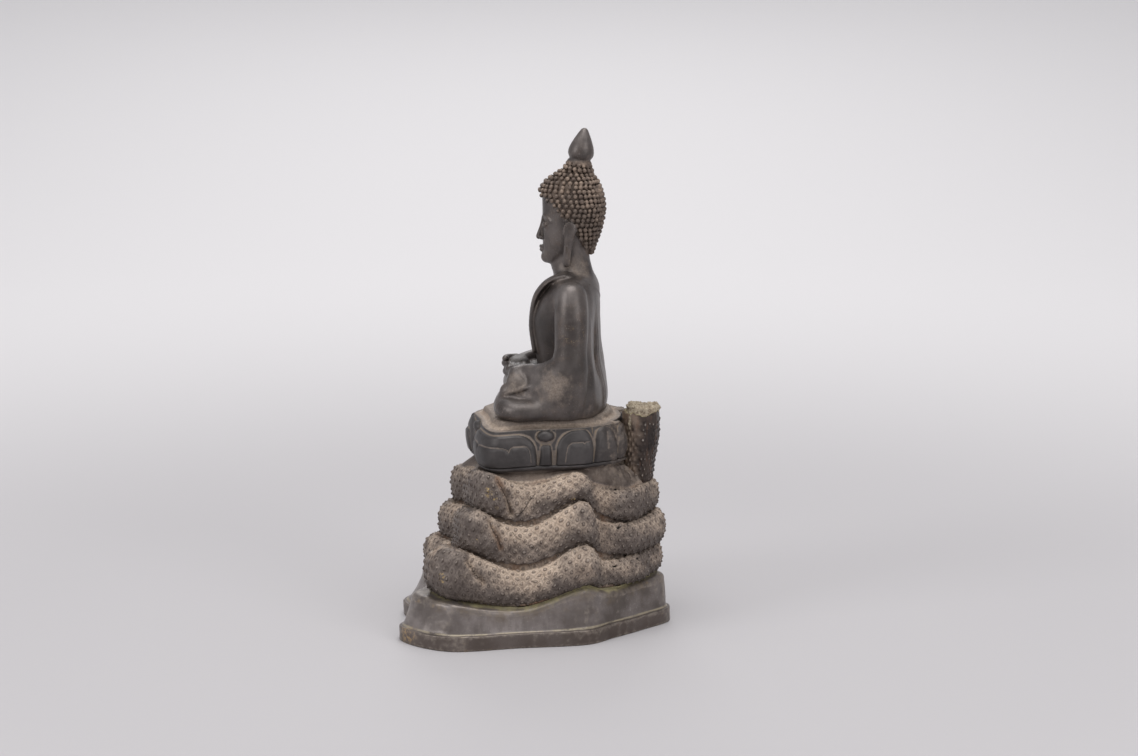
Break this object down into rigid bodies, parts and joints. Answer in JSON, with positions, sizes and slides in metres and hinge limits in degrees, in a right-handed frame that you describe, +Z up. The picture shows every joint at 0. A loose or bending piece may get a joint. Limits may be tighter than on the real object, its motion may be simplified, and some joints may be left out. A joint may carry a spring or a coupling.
{
  "type": "naga buddha",
  "caption": "Bronze figure in meditation on a lotus throne carried by serpent coils on a lobed plinth; the serpent's hood is lost and its neck is a stump.",
  "frame": {"origin": "middle of the plinth's underside", "axes": "+Z up, the figure faces -Y, and its left side is +X"},
  "size_m": [0.168, 0.164, 0.2983],
  "materials": {
    "plinth_bronze": "dark grey-brown bronze, satin, brassy where the edges are worn",
    "throne_bronze": "dark brown bronze, satin, taupe dirt in the recesses",
    "stump_bronze": "blackish-brown bronze, rough, cream filler on the broken top",
    "figure_bronze": "dark grey bronze, satin with soft highlights, taupe dirt in the hair"
  },
  "bodies": {
    "root": {"plinth": "plinth_bronze", "naga_throne": "throne_bronze", "naga_neck_stump": "stump_bronze", "seated_figure": "figure_bronze"}
  },
  "joints": []
}
